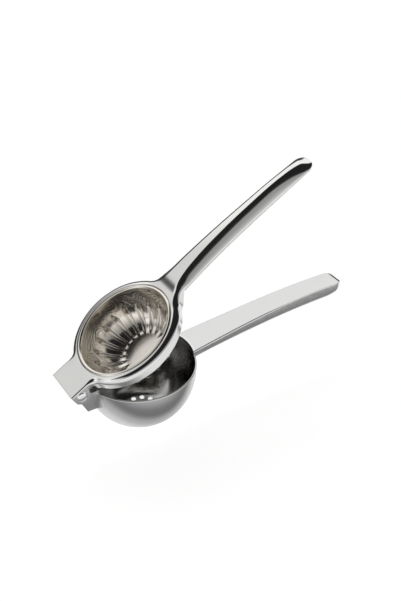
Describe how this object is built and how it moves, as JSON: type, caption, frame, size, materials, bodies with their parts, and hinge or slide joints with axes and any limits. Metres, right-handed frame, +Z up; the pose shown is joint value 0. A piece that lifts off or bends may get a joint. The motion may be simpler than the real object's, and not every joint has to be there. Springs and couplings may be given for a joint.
{
  "type": "citrus press juicer",
  "caption": "Two-arm hand press for citrus fruit: a bowl arm with a strainer bottom and a fluted press cup arm on one riveted hinge, all stainless steel.",
  "frame": {"origin": "centre of the bowl's flat bottom, on the bowl's axis", "axes": "+Z up along the bowl's axis, +X from the hinge to the handle tips, Y along the hinge axis"},
  "size_m": [0.205, 0.0734, 0.1461],
  "materials": {
    "bowl_steel": "satin stainless steel",
    "handle_steel": "fine satin stainless steel",
    "frame_steel": "fine satin stainless steel with polished rounded edges",
    "cup_steel": "mirror polished stainless steel",
    "rivet_steel": "polished stainless steel",
    "washer_steel": "plain stainless steel"
  },
  "bodies": {
    "bowl_arm": {"bowl": "bowl_steel", "hinge_lug": "bowl_steel", "lower_handle_shell": "handle_steel", "lower_handle_cover": "handle_steel"},
    "press_arm": {"press_frame": "frame_steel", "press_cup": "cup_steel", "upper_handle_cover": "handle_steel", "hinge_rivet": "rivet_steel", "rivet_cap": "rivet_steel", "washer_near": "washer_steel", "washer_far": "washer_steel"}
  },
  "joints": [
    {"name": "hinge", "type": "hinge", "parent": "bowl_arm", "child": "press_arm", "pos_m": [-0.0447, 0, 0.0404], "axis": [0, -1, 0], "range_deg": [-28, 80]}
  ]
}
